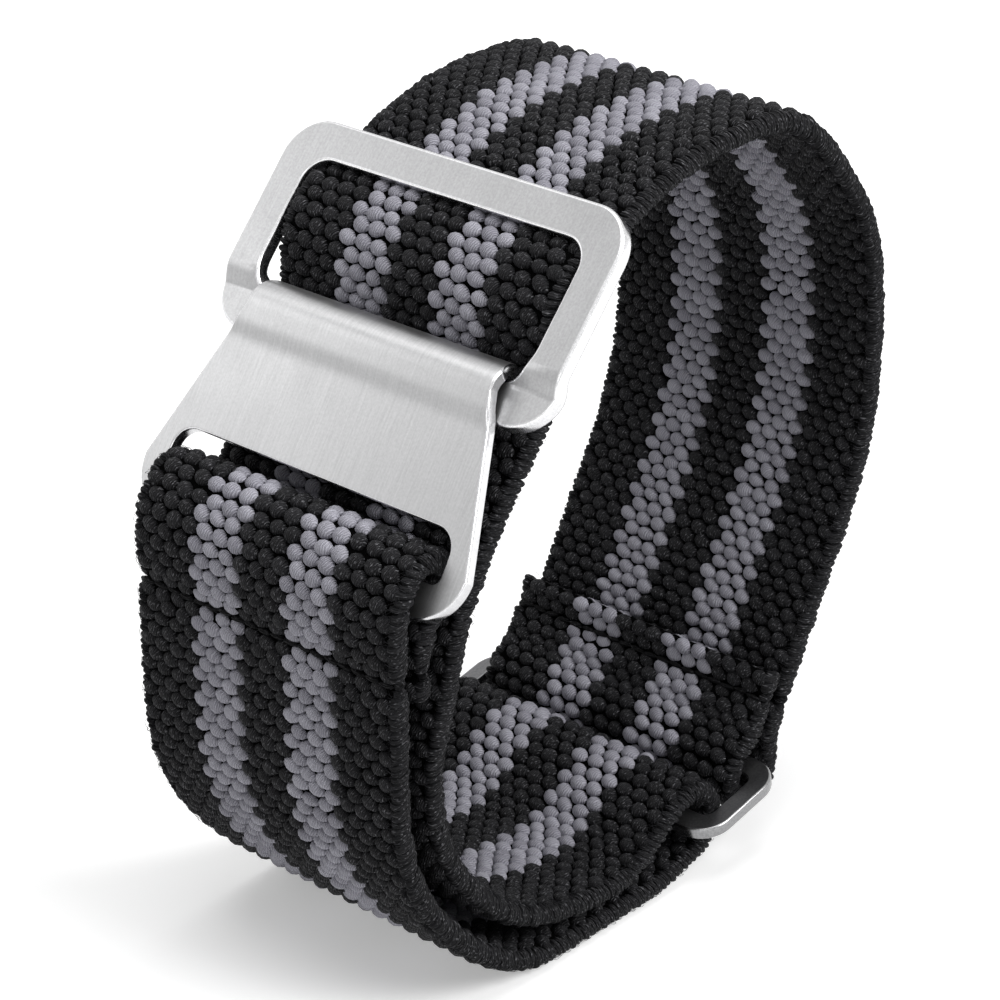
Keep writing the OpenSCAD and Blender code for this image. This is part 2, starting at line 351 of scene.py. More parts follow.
def knot_shape():
    """One knot of the weave: a plump leaf of yarn across the band, narrow where it tucks under."""
    work = bmesh.new()
    bmesh.ops.create_icosphere(work, subdivisions=2, radius=1.0)
    bmesh.ops.bisect_plane(work, geom=everything_in(work), plane_co=(0, 0, -0.35),
                           plane_no=(0, 0, 1), clear_inner=True)
    for v in work.verts:
        tail = max(0.0, -v.co.y) ** 1.4
        v.co.x *= 1.0 - 0.36 * tail
        v.co.z *= 1.0 - 0.30 * tail
    bmesh.ops.scale(work, vec=KNOT_SIZE, verts=work.verts)
    set_yarn_map(work)
    return mesh_from(work, "knot", smooth=True)


def selvedge_shape():
    """One turn of yarn round the edge of the band."""
    work = bmesh.new()
    bmesh.ops.create_uvsphere(work, u_segments=10, v_segments=8, radius=1.0)
    bmesh.ops.scale(work, vec=SELVEDGE_SIZE, verts=work.verts)
    set_yarn_map(work, 0, 2)
    bmesh.ops.rotate(work, matrix=Matrix.Rotation(SELVEDGE_LEAN, 3, "Y"), verts=work.verts)
    return mesh_from(work, "selvedge_turn", smooth=True)


def stray_fibre_shape():
    """One fine fibre that bows over the edge of the band."""
    work = bmesh.new()
    made = bmesh.ops.create_circle(work, cap_ends=False, segments=3, radius=FIBRE_RADIUS)
    bmesh.ops.rotate(work, matrix=Matrix.Rotation(math.radians(90), 3, "X"), verts=made["verts"])
    bmesh.ops.translate(work, vec=(0.0, 0.0, FIBRE_BOW), verts=made["verts"])
    bmesh.ops.rotate(work, matrix=Matrix.Rotation(math.radians(48), 3, "X"), verts=made["verts"])
    bmesh.ops.spin(work, geom=work.verts[:] + work.edges[:], axis=(1, 0, 0), cent=(0, 0, 0),
                   angle=math.radians(-110), steps=5)
    bmesh.ops.recalc_face_normals(work, faces=work.faces)
    set_yarn_map(work, 0, 2)
    return mesh_from(work, "stray_fibre", smooth=True)


def copies(shape, count):
    """A mesh of count copies of a shape, one after another."""
    holder = shown(shape.copy(), "copies")
    array = holder.modifiers.new("array", "ARRAY")
    array.use_relative_offset = False
    array.use_constant_offset = True
    array.constant_offset_displace = (2.0, 0.0, 0.0)
    array.count = count
    return finished_mesh(holder)


def turned_copies(shape, size, turn, face_side):
    """The points of each copy of a shape, from its size on each axis, its turn and its face."""
    local = points_of(shape)[None] * size[:, None, :]
    cosine, sine = np.cos(turn)[:, None], np.sin(turn)[:, None]
    side = face_side[:, None]
    along = (local[..., 0] * cosine - local[..., 1] * sine) * side
    across = local[..., 0] * sine + local[..., 1] * cosine
    return np.stack([along, across, local[..., 2] * side], axis=-1)


def vary_yarn(mesh, count, low, high):
    """Gives each copy a tone of its own and shifts its fibres, so that no two look the same."""
    tone = chance.uniform(low, high, count)
    layer = mesh.attributes.new("tone", "FLOAT", "POINT")
    each = np.repeat(tone, len(mesh.vertices) // count)
    layer.data.foreach_set("value", each.astype(np.float32))
    uv = mesh.uv_layers["yarn"].data
    flat = np.empty(len(uv) * 2, np.float32)
    uv.foreach_get("uv", flat)
    flat = flat.reshape(count, -1, 2) + chance.uniform(0, 40, (count, 1, 2))
    uv.foreach_set("uv", flat.astype(np.float32).ravel())


def is_grey(row, column):
    """True where a knot belongs to one of the two grey stripes."""
    place = column - np.where(row % 2 == 0, 4, 3)
    between = (place >= 0) & (place < STRIPE_STEP + STRIPE_COLUMNS)
    return between & (place % STRIPE_STEP < STRIPE_COLUMNS)


def squeeze_at(along, pinches):
    """How much of its thickness the band keeps at each place, near the seams that pinch it."""
    keep = np.ones(len(along))
    for place in pinches:
        keep -= SEAM_DEPTH * np.exp(-((along - place) / SEAM_WIDTH) ** 2)
    return keep


def part_at(along, pinches):
    """How far the rows beside a seam are pushed away from it."""
    push = np.zeros(len(along))
    for place in pinches:
        away = (along - place) / ROW_PUSH_REACH
        push += ROW_PUSH * away * np.exp(-away ** 2)
    return push


def laid_copies(shape, centre, size, turn, side, path, pinches, low, high):
    """Copies of a shape, set on the band, squeezed by its seams, each with a tone of its own."""
    keep = squeeze_at(centre[:, 0], pinches)
    centre[:, 0] += part_at(centre[:, 0], pinches)
    centre[:, 2] *= keep
    size[:, 2] *= keep
    mesh = copies(shape, len(centre))
    move_points(mesh, set_on_path(turned_copies(shape, size, turn, side), centre, path) * MM)
    vary_yarn(mesh, len(centre), low, high)
    return mesh


def every(*choices):
    """Each combination of some lists of values, as one array for each list."""
    return [grid.ravel() for grid in np.meshgrid(*choices, indexing="ij")]


def knots_on(rows, path, pinches):
    """The knots of some rows, on both faces of the band."""
    row, column, side = every(rows, np.arange(COLUMNS), [1, -1])
    count = len(row)
    across = (column - MIDDLE_COLUMN + 0.5 * (row % 2)) * COLUMN
    along = (row + 0.5) * ROW + chance.normal(0, 0.03, count)
    # The outermost knots lie a little lower, where the band thins towards its edges
    edge = np.clip(np.abs(across) - 8.4, 0, 1)
    out = (KNOT_OUT - 0.07 * edge ** 2 + chance.normal(0, 0.015, count)) * side
    centre = np.stack([along, across + chance.normal(0, 0.025, count), out], axis=1)
    size = chance.normal(1.0, 0.045, (count, 3))
    turn = KNOT_TURN + chance.normal(0, math.radians(8), count)
    mesh = laid_copies(knot, centre, size, turn, side, path, pinches, 0.0, 1.0)
    grey = is_grey(row, column).astype(np.int32)
    mesh.materials.append(black_yarn)
    mesh.materials.append(grey_yarn)
    mesh.polygons.foreach_set("material_index", np.repeat(grey, len(mesh.polygons) // count))
    return mesh


def selvedges_on(rows, path, pinches):
    """The turns of yarn along both edges of some rows."""
    row, side, each = every(rows, [1, -1], [0.25, 0.75])
    count = len(row)
    along = (row + each) * ROW + chance.normal(0, 0.03, count)
    across = (SELVEDGE_ACROSS + chance.normal(0, 0.035, count)) * side
    centre = np.stack([along, across, np.zeros(count)], axis=1)
    size = chance.normal(1.0, 0.06, (count, 3))
    turn = np.where(side > 0, 0.0, math.pi)
    mesh = laid_copies(selvedge_turn, centre, size, turn, np.ones(count), path, pinches, 0.0, 0.7)
    mesh.materials.append(black_yarn)
    return mesh


def fibres_on(rows, path, pinches):
    """Fine stray fibres that bow over both edges of some rows."""
    row, side, _ = every(rows, [1, -1], np.arange(FIBRES_A_ROW))
    count = len(row)
    along = (row + chance.uniform(0, 1, count)) * ROW
    across = (FIBRE_ACROSS + chance.normal(0, 0.10, count)) * side
    centre = np.stack([along, across, chance.normal(0, 0.05, count)], axis=1)
    size = chance.normal(1.0, 0.05, (count, 3))
    turn = np.where(side > 0, 0.0, math.pi) + chance.normal(0, math.radians(28), count)
    mesh = laid_copies(stray_fibre, centre, size, turn, np.ones(count), path, pinches, 0.0, 1.0)
    mesh.materials.append(fibre_yarn_with_painted_glint)
    return mesh


def weave_piece(name, path, start, end, pinches=()):
    """A length of the band: its core, the knots on both faces, and the yarn along both edges."""
    rows = np.arange(math.ceil(start / ROW - 0.5), math.ceil(end / ROW - 0.5))
    core = core_strip(start, end)
    points = points_of(core)
    points[:, 2] *= squeeze_at(points[:, 0], pinches)
    move_points(core, lay_on_path(points, path) * MM)
    core.materials.append(core_yarn_with_gap_shade)
    parts = [laid(rows, path, pinches) for laid in (knots_on, selvedges_on, fibres_on)] + [core]
    return joined([shown(mesh, name) for mesh in parts], name)


def edges_along(work):
    """The edges that run along the band."""
    return [e for e in work.edges if abs(e.verts[0].co.x - e.verts[1].co.x) > 1e-6]


def core_strip(start, end):
    """The close core of the band under its knots, straight, in millimetres."""
    work = bmesh.new()
    bmesh.ops.create_cube(work, size=1.0)
    bmesh.ops.scale(work, vec=(end - start, CORE_WIDTH, CORE_THICK), verts=work.verts)
    bmesh.ops.translate(work, vec=((start + end) / 2, 0, 0), verts=work.verts)
    bmesh.ops.bevel(work, geom=edges_along(work), offset=CORE_ROUNDING, segments=3, profile=0.5,
                    affect="EDGES", material=-1)
    cuts = int((end - start) / 0.25)
    bmesh.ops.subdivide_edges(work, edges=edges_along(work), cuts=cuts, use_grid_fill=True)
    set_yarn_map(work)
    for face in work.faces:
        face.smooth = len(face.verts) == 4
    mesh = mesh_from(work, "core")
    layer = mesh.attributes.new("tone", "FLOAT", "POINT")
    layer.data.foreach_set("value", np.full(len(mesh.vertices), 0.4, np.float32))
    return mesh


# Materials

def new_material(name):
    """An empty node material with its Principled BSDF and output."""
    material = bpy.data.materials.new(name)
    material.use_nodes = True
    tree = material.node_tree
    return material, tree, tree.nodes["Principled BSDF"]


def preset(node, values):
    """Sets unlinked inputs of a node, by name or place."""
    for socket, value in values.items():
        node.inputs[socket].default_value = value


def group_with(name, inputs, outputs):
    """A new shader node group with its named sockets, and its input and output nodes."""
    group = bpy.data.node_groups.new(name, "ShaderNodeTree")
    for direction, sockets in (("INPUT", inputs), ("OUTPUT", outputs)):
        for socket, kind in sockets:
            group.interface.new_socket(socket, in_out=direction, socket_type="NodeSocket" + kind)
    return group, group.nodes.new("NodeGroupInput"), group.nodes.new("NodeGroupOutput")


def maths(tree, operation):
    """A Math node."""
    node = tree.nodes.new("ShaderNodeMath")
    node.operation = operation
    return node


def color_mix(tree, blend="MIX"):
    """A Mix node for colours."""
    node = tree.nodes.new("ShaderNodeMix")
    node.data_type = "RGBA"
    node.blend_type = blend
    return node


def fibre_group():
    """Fine fibres of twisted yarn, drawn along the piece's own yarn map, with painted glints: a
    light grey painted onto the hairs.
    """
    inputs = [("Dark", "Color"), ("Light", "Color"), ("Painted glint", "Float")]
    outputs = [("Color", "Color"), ("Height", "Float")]
    group, taken, given = group_with("Yarn fibres", inputs, outputs)
    link = group.links.new
    place = group.nodes.new("ShaderNodeUVMap")
    place.uv_map = "yarn"
    tone = group.nodes.new("ShaderNodeAttribute")
    tone.attribute_name = "tone"
    ridges = group.nodes.new("ShaderNodeTexWave")
    ridges.bands_direction = "X"
    preset(ridges, {"Scale": 2.5, "Distortion": 4.2, "Detail": 2.0, "Detail Scale": 1.4})
    stretch = group.nodes.new("ShaderNodeMapping")
    stretch.inputs["Scale"].default_value = (15.0, 4.5, 1.0)
    hairs = group.nodes.new("ShaderNodeTexNoise")
    preset(hairs, {"Scale": 1.0, "Detail": 3.0})
    link(place.outputs["UV"], ridges.inputs["Vector"])
    link(place.outputs["UV"], stretch.inputs["Vector"])
    link(stretch.outputs["Vector"], hairs.inputs["Vector"])
    shade = color_mix(group)
    link(taken.outputs["Dark"], shade.inputs["A"])
    link(taken.outputs["Light"], shade.inputs["B"])
    weigh = maths(group, "MULTIPLY_ADD")
    weigh.inputs[1].default_value = 0.55
    link(ridges.outputs["Fac"], weigh.inputs[0])
    tone_part = maths(group, "MULTIPLY")
    tone_part.inputs[1].default_value = 0.45
    link(tone.outputs["Fac"], tone_part.inputs[0])
    link(tone_part.outputs[0], weigh.inputs[2])
    link(weigh.outputs[0], shade.inputs["Factor"])
    sharp = group.nodes.new("ShaderNodeMapRange")
    preset(sharp, {"From Min": 0.57, "From Max": 0.74})
    link(hairs.outputs["Fac"], sharp.inputs["Value"])
    amount = maths(group, "MULTIPLY")
    link(sharp.outputs[0], amount.inputs[0])
    link(taken.outputs["Painted glint"], amount.inputs[1])
    # Painted glints: light grey painted onto the hairs where their noise peaks, a painted highlight
    # of light catching the fibres
    lit = color_mix(group)
    lit.inputs["B"].default_value = (0.62, 0.62, 0.66, 1.0)
    link(amount.outputs[0], lit.inputs["Factor"])
    link(shade.outputs["Result"], lit.inputs["A"])
    link(lit.outputs["Result"], given.inputs["Color"])
    height = maths(group, "MULTIPLY_ADD")
    height.inputs[1].default_value = 0.5
    link(hairs.outputs["Fac"], height.inputs[0])
    link(ridges.outputs["Fac"], height.inputs[2])
    link(height.outputs[0], given.inputs["Height"])
    return group


def yarn_material(name, dark, light, painted_glint, gloss=0.12, depth=0.07):
    """Matt synthetic yarn of fine twisted fibres."""
    material, tree, shader = new_material(name)
    fibres = tree.nodes.new("ShaderNodeGroup")
    fibres.node_tree = yarn_fibres
    preset(fibres, {"Dark": (*dark, 1.0), "Light": (*light, 1.0), "Painted glint": painted_glint})
    bump = tree.nodes.new("ShaderNodeBump")
    preset(bump, {"Strength": 0.8, "Distance": depth * MM})
    tree.links.new(fibres.outputs["Color"], shader.inputs["Base Color"])
    tree.links.new(fibres.outputs["Height"], bump.inputs["Height"])
    tree.links.new(bump.outputs["Normal"], shader.inputs["Normal"])
    preset(shader, {"Roughness": 0.62, "Specular IOR Level": gloss})
    return material


def brushing_group():
    """Fine straight brushing of steel, with its rounded edges smoother and painted brighter as a
    painted highlight.
    """
    inputs = [("Slope", "Vector"), ("Grain", "Float"), ("Speckle", "Float"), ("Rough", "Float"),
              ("Face color", "Color"), ("Edge highlight color", "Color")]
    outputs = [("Color", "Color"), ("Roughness", "Float"), ("Height", "Float")]
    group, taken, given = group_with("Brushed steel", inputs, outputs)
    link = group.links.new
    place = group.nodes.new("ShaderNodeTexCoord")
    turn = group.nodes.new("ShaderNodeMapping")
    stretch = group.nodes.new("ShaderNodeMapping")
    stretch.inputs["Scale"].default_value = (260.0, 9000.0, 260.0)
    lines = group.nodes.new("ShaderNodeTexNoise")
    preset(lines, {"Scale": 1.0, "Detail": 4.0, "Roughness": 0.62})
    cloud = group.nodes.new("ShaderNodeTexNoise")
    preset(cloud, {"Scale": 420.0, "Detail": 3.0})
    link(place.outputs["Object"], turn.inputs["Vector"])
    link(taken.outputs["Slope"], turn.inputs["Rotation"])
    link(turn.outputs["Vector"], stretch.inputs["Vector"])
    link(stretch.outputs["Vector"], lines.inputs["Vector"])
    link(place.outputs["Object"], cloud.inputs["Vector"])
    edge = group.nodes.new("ShaderNodeAttribute")
    edge.attribute_name = "edge"
    # The rounded edges are painted brighter than the faces, a painted highlight; their lower
    # roughness below is the real polish
    edge_highlight_mix = color_mix(group)
    link(edge.outputs["Fac"], edge_highlight_mix.inputs["Factor"])
    link(taken.outputs["Face color"], edge_highlight_mix.inputs["A"])
    link(taken.outputs["Edge highlight color"], edge_highlight_mix.inputs["B"])
    streak = group.nodes.new("ShaderNodeMapRange")
    preset(streak, {"From Min": 0.3, "From Max": 0.7, "To Min": 0.86, "To Max": 1.06})
    link(lines.outputs["Fac"], streak.inputs["Value"])
    shade = color_mix(group, "MULTIPLY")
    link(taken.outputs["Grain"], shade.inputs["Factor"])
    link(edge_highlight_mix.outputs["Result"], shade.inputs["A"])
    link(streak.outputs[0], shade.inputs["B"])
    grit = group.nodes.new("ShaderNodeTexNoise")
    preset(grit, {"Scale": 7500.0, "Detail": 2.0})
    link(place.outputs["Object"], grit.inputs["Vector"])
    fleck = group.nodes.new("ShaderNodeMapRange")
    preset(fleck, {"From Min": 0.3, "From Max": 0.7, "To Min": 0.84, "To Max": 1.12})
    link(grit.outputs["Fac"], fleck.inputs["Value"])
    speckled = color_mix(group, "MULTIPLY")
    link(taken.outputs["Speckle"], speckled.inputs["Factor"])
    link(shade.outputs["Result"], speckled.inputs["A"])
    link(fleck.outputs[0], speckled.inputs["B"])
    link(speckled.outputs["Result"], given.inputs["Color"])
    spread = maths(group, "MULTIPLY_ADD")
    spread.inputs[1].default_value = 0.22
    link(cloud.outputs["Fac"], spread.inputs[0])
    link(taken.outputs["Rough"], spread.inputs[2])
    worn = maths(group, "MULTIPLY_ADD")
    worn.inputs[1].default_value = -0.16
    link(edge.outputs["Fac"], worn.inputs[0])
    link(spread.outputs[0], worn.inputs[2])
    link(worn.outputs[0], given.inputs["Roughness"])
    link(lines.outputs["Fac"], given.inputs["Height"])
    return group


def steel_material(name, slope, grain, speckle, rough, face_color, edge_highlight_color, depth):
    """Satin steel, brushed along the slope of the piece."""
    material, tree, shader = new_material(name)
    brushed = tree.nodes.new("ShaderNodeGroup")
    brushed.node_tree = steel_brushing
    preset(brushed, {
        "Slope": (0.0, math.radians(slope), 0.0),
        "Grain": grain, "Speckle": speckle, "Rough": rough,
        "Face color": (*face_color, 1.0), "Edge highlight color": (*edge_highlight_color, 1.0),
    })
    bump = tree.nodes.new("ShaderNodeBump")
    preset(bump, {"Strength": 0.5, "Distance": depth * MM})
    tree.links.new(brushed.outputs["Color"], shader.inputs["Base Color"])
    tree.links.new(brushed.outputs["Roughness"], shader.inputs["Roughness"])
    tree.links.new(brushed.outputs["Height"], bump.inputs["Height"])
    tree.links.new(bump.outputs["Normal"], shader.inputs["Normal"])
    shader.inputs["Metallic"].default_value = 1.0
    return material


yarn_fibres = fibre_group()
steel_brushing = brushing_group()
# Yarns: dark and light colour, painted glint on the hairs, gloss
black_yarn = yarn_material("black_yarn", (0.005, 0.005, 0.0055), (0.018, 0.018, 0.020), 0.30, 0.10)
grey_yarn = yarn_material("grey_yarn", (0.205, 0.20, 0.235), (0.44, 0.435, 0.49), 0.25, 0.25)
# The core is painted darker than the black yarn, as painted shade in the gaps between the knots
core_yarn_with_gap_shade = yarn_material("core_yarn_with_gap_shade", (0.002, 0.002, 0.002), (0.004, 0.004, 0.004), 0.0, 0.0)
# The stray fibres are painted lighter than the black yarn, as a painted glint on them
fibre_yarn_with_painted_glint = yarn_material("fibre_yarn_with_painted_glint", (0.008, 0.008, 0.009), (0.050, 0.050, 0.054), 0.0, 0.0)
seam_thread = yarn_material("seam_thread", (0.003, 0.003, 0.003), (0.010, 0.010, 0.011), 0.1, 0.05)
ring_steel = steel_material(
    "ring_steel", slope=RING_AT[2], grain=0.6, speckle=0.6, rough=0.28,
    face_color=(0.39, 0.39, 0.395), edge_highlight_color=(0.74, 0.74, 0.75), depth=0.003,
)
plate_steel = steel_material(
    "plate_steel", slope=HOOK_AT[2], grain=0.8, speckle=0.4, rough=0.24,
    face_color=(0.43, 0.43, 0.435), edge_highlight_color=(0.62, 0.62, 0.63), depth=0.004,
)
# The slider's steel is painted far darker than the ring's, a painted reflection of the black band
# round it
slider_steel_with_painted_reflection = steel_material(
    "slider_steel_with_painted_reflection", slope=SLIDER_AT[2], grain=0.4, speckle=1.0, rough=0.28,
    face_color=(0.16, 0.16, 0.165), edge_highlight_color=(0.30, 0.30, 0.305), depth=0.003,
)


# Metal

def flat_outline(corners, rounding):
    """A flat face with the given corners (along, across), each rounded by its own radius."""
    work = bmesh.new()
    ring = [work.verts.new((u, y, 0.0)) for u, y in corners]
    work.faces.new(ring)
    work.verts.ensure_lookup_table()
    for radius in sorted({r for r in rounding if r}):
        chosen = [v for v, r in zip(ring, rounding) if r == radius]
        bmesh.ops.bevel(work, geom=chosen, offset=radius, segments=12, profile=0.5,
                        affect="VERTICES", material=-1)
    return work


def slab(corners, rounding, thick, name):
    """A flat plate of the given thickness about the middle plane, as an object."""
    work = flat_outline(corners, rounding)
    grown = bmesh.ops.extrude_face_region(work, geom=work.faces[:])
    raised = [v for v in grown["geom"] if isinstance(v, bmesh.types.BMVert)]
    bmesh.ops.translate(work, vec=(0, 0, thick), verts=raised)
    bmesh.ops.translate(work, vec=(0, 0, -thick / 2), verts=work.verts)
    bmesh.ops.recalc_face_normals(work, faces=work.faces)
    return shown(mesh_from(work, name), name)


def rectangle(low, high, width):
    """The corners of a rectangle along and across the loop."""
    return [(low, -width / 2), (high, -width / 2), (high, width / 2), (low, width / 2)]


def pressed_plate(blank, openings, bevel_by, cuts, path, name, steel):
    """A sheet-metal piece: its openings cut, its edges rounded, and bent round its path."""
    for opening in openings:
        cut = blank.modifiers.new("opening", "BOOLEAN")
        cut.operation = "DIFFERENCE"
        cut.solver = "EXACT"
        cut.object = opening
    mesh = finished_mesh(blank)
    for opening in openings:
        bpy.data.objects.remove(opening)
    work = bmesh.new()
    work.from_mesh(mesh)
    bmesh.ops.remove_doubles(work, verts=work.verts, dist=1e-5)
    bmesh.ops.dissolve_limit(work, angle_limit=math.radians(1), verts=work.verts, edges=work.edges)
    sharp = [e for e in work.edges if e.is_manifold and e.calc_face_angle() > math.radians(50)]
    bmesh.ops.bevel(work, geom=sharp, offset=bevel_by, segments=3, profile=0.5,
                    affect="EDGES", material=-1, clamp_overlap=True)
    slice_at(work, cuts, 0)
    half = max(v.co.z for v in work.verts)
    edge = work.verts.layers.float.new("edge")
    for v in work.verts:
        v[edge] = 0.0 if half - abs(v.co.z) < 1e-4 else 1.0
    mesh = mesh_from(work, name, smooth=True)
    move_points(mesh, lay_on_path(points_of(mesh), path) * MM)
    mesh.materials.clear()
    mesh.materials.append(steel)
    piece = shown(mesh, name)
    weigh = piece.modifiers.new("even_normals", "WEIGHTED_NORMAL")
    weigh.mode = "FACE_AREA"
    weigh.weight = 60
    return piece


def arc(at, u, n, radius, start, end, count):
    """Points on an arc round (u, n) of a frame, angles in degrees."""
    angles = np.radians(np.linspace(start, end, count))
    return [spot(at, u + radius * math.cos(a), n + radius * math.sin(a)) for a in angles]


def make_ring():
    """The flat ring, with its catch bar set in a little."""
    plate = rectangle(RING_LOW, RING_HIGH, RING_WIDTH)
    blank = slab(plate, [RING_CORNER] * 4, RING_THICK, "ring_blank")
    hole = rectangle(CATCH_EDGE, TOP_EDGE, RING_OPENING)
    opening = slab(hole, RING_OPENING_CORNERS, CUTTER_THICK, "ring_opening")
    steps = [
        (RING_LOW, CATCH_SET_IN), (-5.2, CATCH_SET_IN), (CATCH_EDGE, CATCH_SET_IN), (-4.7, -0.55),
        (-4.3, -0.3), (-3.9, -0.05), (-3.6, 0.0), (RING_HIGH, 0.0),
    ]
    path = path_through([spot(RING_AT, u, n) for u, n in steps], 0.05, 0.12)
    path["s"] = path["s"] * (RING_HIGH - RING_LOW) / path["s"][-1] + RING_LOW
    step_cuts = np.arange(-5.6, -3.2, 0.15)
    piece = pressed_plate(blank, [opening], 0.2, step_cuts, path, "ring_of_steel", ring_steel)
    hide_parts("ring")
    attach(piece, "ring")
    make_centre_bar(path)


def make_centre_bar(path):
    """The ring's centre bar, set down under the band, its ends bent up into the side bars."""
    corners = rectangle(-CENTRE_BAR_HALF, CENTRE_BAR_HALF, CENTRE_BAR_LENGTH)
    blank = slab(corners, [0.3] * 4, RING_THICK, "centre_bar_blank")
    inner, outer = CENTRE_BAR_BENDS
    work = bmesh.new()
    work.from_mesh(blank.data)
    slice_at(work, (-outer, -inner, inner, outer), 1)
    for v in work.verts:
        down = (outer - abs(v.co.y)) / (outer - inner)
        v.co.z -= CENTRE_BAR_END_DROP + CENTRE_BAR_DROP * min(max(down, 0.0), 1.0)
    work.to_mesh(blank.data)
    work.free()
    piece = pressed_plate(blank, [], 0.15, [], path, "ring_centre_bar", ring_steel)
    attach(piece, "ring")


def make_hook_plate():
    """The hook plate: a sheet with a slot for the band and its narrow end rolled into a hook."""
    run = [(PLATE_FOOT, PLATE_OUT), (-2.1, PLATE_OUT), (-1.7, 1.10), (-1.1, 1.28)]
    flat_run = [spot(HOOK_AT, u, n) for u, n in run]
    roll = arc(HOOK_AT, 0.0, 0.0, ROLL_RADIUS, 90, -90, 25)
    lip = [spot(HOOK_AT, -LIP_LENGTH, -ROLL_RADIUS)]
    path = path_through(flat_run + roll + lip, 0.04, 0.1)
    path["s"] = path["s"] + PLATE_FOOT
    tip = path["s"][-1]
    near_side = [
        (PLATE_FOOT, -PLATE_WIDE), (-9.75, -PLATE_WIDE), (0.0, -PLATE_NARROW), (0.9, -PLATE_NARROW),
        (tip, -PLATE_TIP),
    ]
    far_side = [(u, -y) for u, y in reversed(near_side)]
    corners = [2.8, 0, 0, 0, 0.6, 0.6, 0, 0, 0, 2.8]
    blank = slab(near_side + far_side, corners, PLATE_THICK, "plate_blank")
    hole = rectangle(*PLATE_SLOT, SLOT_WIDTH)
    slot = slab(hole, PLATE_SLOT_CORNERS, CUTTER_THICK, "band_slot")
    bend_cuts = np.concatenate([np.arange(-2.9, -0.6, 0.2), np.arange(-0.2, tip - 0.1, 0.16)])
    piece = pressed_plate(blank, [slot], 0.16, bend_cuts, path, "hook_plate_of_steel", plate_steel)
    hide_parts("hook_plate")
    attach(piece, "hook_end")


def make_slider():
    """The slider: a thin loop with one slot."""
    reach = SLIDER_LENGTH / 2
    plate = rectangle(-reach, reach, SLIDER_WIDTH)
    blank = slab(plate, [SLIDER_CORNER] * 4, SLIDER_THICK, "slider_blank")
    hole = rectangle(-SLIDER_SLOT / 2, SLIDER_SLOT / 2, SLOT_WIDTH)
    slot = slab(hole, [0.6] * 4, CUTTER_THICK, "slider_slot")
    path = path_through([spot(SLIDER_AT, -reach, 0.0), spot(SLIDER_AT, reach, 0.0)])
    path["s"] = path["s"] - reach
    piece = pressed_plate(blank, [slot], 0.18, [], path, "slider_of_steel", slider_steel_with_painted_reflection)
    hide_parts("slider")
    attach(piece, "slider")


# Band

def seam_pinches(path, at):
    """Where a seam pinches the band: its two layers, as places along the band."""
    return [nearest_along(path, *spot(at, 0.0, side * SEAM_LAYER)) for side in (1, -1)]


def make_band():
    """Every section of the band, each on the body that carries it, but the outer strand, which is
    made in two halves and put on no body.
    """
    path, joints = band_path()
    for k, node in enumerate(BAND_SECTIONS):
        start, end = joints[k], joints[k + 1]
        if node == "band_outer_strand":
            middle = (start + end) / 2
            lower = weave_piece(node + "_lower", path, start, middle)
            upper = weave_piece(node + "_upper", path, middle, end)
            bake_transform(lower)
            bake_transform(upper)
            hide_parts(node)
            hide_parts(node)
            continue
        pinches = []
        if node == "band_slider_fold":
            pinches = seam_pinches(path, SLIDER_SEAM_AT)
        if node == "band_hook_fold":
            pinches = seam_pinches(path, HOOK_SEAM_AT)
        piece = weave_piece(node + "_weave", path, start, end, pinches)
        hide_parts(node)
        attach(piece, "hook_end" if node == "band_hook_fold" else "strap")


def stitch_shape():
    """One stitch of sewing thread."""
    work = bmesh.new()
    bmesh.ops.create_uvsphere(work, u_segments=8, v_segments=6, radius=1.0)
    bmesh.ops.scale(work, vec=STITCH_SIZE, verts=work.verts)
    set_yarn_map(work, 0, 1)
    return mesh_from(work, "stitch", smooth=True)


def make_seam(node, at, body):
    """The row of stitches that shows on both faces of a fold, down in its groove."""
    shape = stitch_shape()
    spaces = np.arange(-9.0, 9.01, STITCH_STEP)
    across, side = every(spaces, [1, -1])
    count = len(across)
    centre = np.stack([chance.normal(0, 0.03, count), across, side * STITCH_OUT], axis=1)
    size = chance.normal(1.0, 0.06, (count, 3))
    turn = chance.normal(0, math.radians(5), count)
    run = path_through([spot(at, -2.0, 0.0), spot(at, 2.0, 0.0)])
    run["s"] = run["s"] - 2.0
    stitches = laid_copies(shape, centre, size, turn, np.ones(count), run, (), 0.0, 1.0)
    stitches.materials.append(seam_thread)
    piece = shown(stitches, node + "_thread")
    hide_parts(node)
    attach(piece, body)


# Studio

def area_light(name, place, aim, size, power):
    """A soft square lamp at a place, turned to a point."""
    lamp = bpy.data.lights.new(name, "AREA")
    lamp.shape = "SQUARE"
    lamp.size = size
    lamp.energy = power
    holder = bpy.data.objects.new(name, lamp)
    holder.location = place
    holder.rotation_euler = (Vector(aim) - Vector(place)).to_track_quat("-Z", "Y").to_euler()
    bpy.context.scene.collection.objects.link(holder)


def seen_white(tree, link):
    """A factor of 1 for camera, glossy and transmission rays."""
    rays = tree.nodes.new("ShaderNodeLightPath")
    first = maths(tree, "MAXIMUM")
    link(rays.outputs["Is Camera Ray"], first.inputs[0])
    link(rays.outputs["Is Glossy Ray"], first.inputs[1])
    both = maths(tree, "MAXIMUM")
    link(first.outputs[0], both.inputs[0])
    link(rays.outputs["Is Transmission Ray"], both.inputs[1])
    return both.outputs[0]


def make_surround():
    """A surround that is white to the camera and a dim light otherwise."""
    world = bpy.data.worlds.new("surround")
    bpy.context.scene.world = world
    world.use_nodes = True
    tree = world.node_tree
    link = tree.links.new
    backdrop = tree.nodes["Background"]
    strength = tree.nodes.new("ShaderNodeMapRange")
    preset(strength, {"To Min": 0.13, "To Max": 1.0})
    link(seen_white(tree, link), strength.inputs["Value"])
    backdrop.inputs["Color"].default_value = (1.0, 1.0, 1.0, 1.0)
    link(strength.outputs[0], backdrop.inputs["Strength"])


